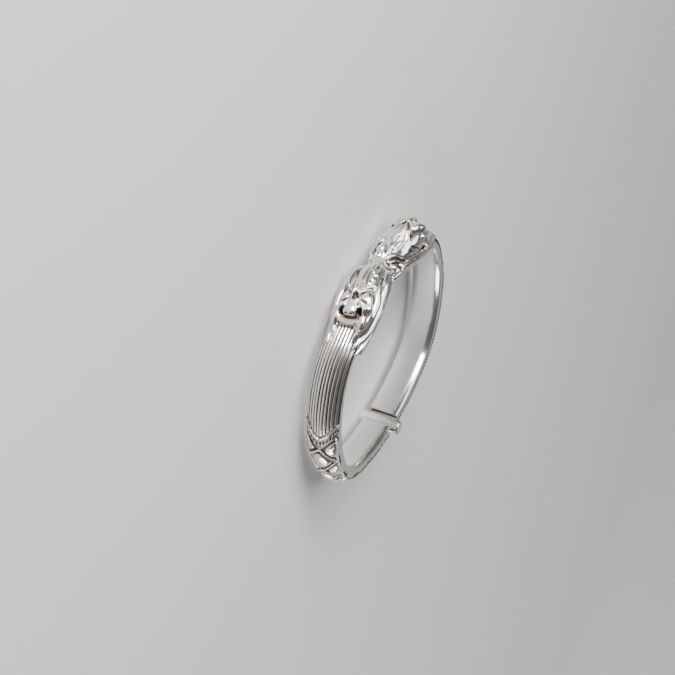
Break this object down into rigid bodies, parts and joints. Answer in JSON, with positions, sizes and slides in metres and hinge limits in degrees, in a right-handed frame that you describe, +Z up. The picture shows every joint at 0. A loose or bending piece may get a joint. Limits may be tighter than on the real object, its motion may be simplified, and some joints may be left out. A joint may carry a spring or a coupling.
{
  "type": "lion head bangle",
  "caption": "Stiff oval silver bangle with lion heads back to back at its gap, fluted stretches, pointed beaded collars and a quilted lattice under the wrist.",
  "frame": {"origin": "on the floor under the middle of the bangle's box, as it lies on its side", "axes": "+X along the oval's long way, +Y from the gap between the heads towards the hinge, +Z up along the wrist's axis"},
  "size_m": [0.0732, 0.0625, 0.012],
  "materials": {
    "silver": "polished cast silver with darkened recesses"
  },
  "bodies": {
    "root": {"lion_head_front": "silver", "lion_head_back": "silver", "fluted_band_front": "silver", "fluted_band_back": "silver", "collar_front": "silver", "collar_back": "silver", "lattice_band_front": "silver", "lattice_band_back": "silver", "hinge_barrel": "silver"}
  },
  "joints": []
}
